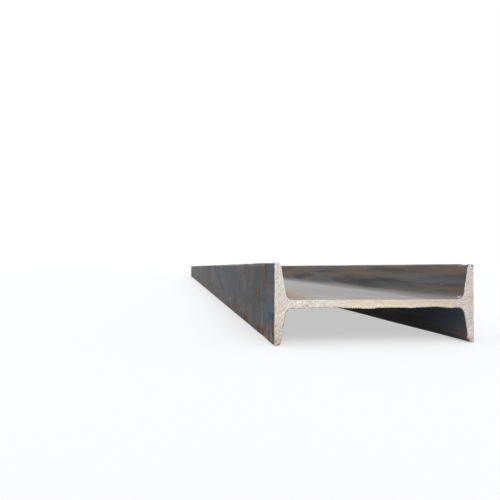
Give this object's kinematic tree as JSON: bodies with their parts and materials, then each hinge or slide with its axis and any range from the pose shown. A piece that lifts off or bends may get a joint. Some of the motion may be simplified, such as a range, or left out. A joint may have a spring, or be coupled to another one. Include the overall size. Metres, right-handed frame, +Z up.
{
  "type": "steel h-beam",
  "caption": "Straight hot-rolled steel H-beam with tapered flanges, mill scale, rust streaks and rough-cut ends, used as a structural member.",
  "frame": {"origin": "under the middle of the beam, on the floor that its flange toes rest on", "axes": "+X across the depth of the section, +Y along the beam, +Z up, square to the web"},
  "size_m": [0.36, 6, 0.14],
  "materials": {
    "rolled_steel": "hot-rolled mill scale with rust streaks, bare rough-cut ends"
  },
  "bodies": {
    "root": {"h_beam": "rolled_steel"}
  },
  "joints": []
}
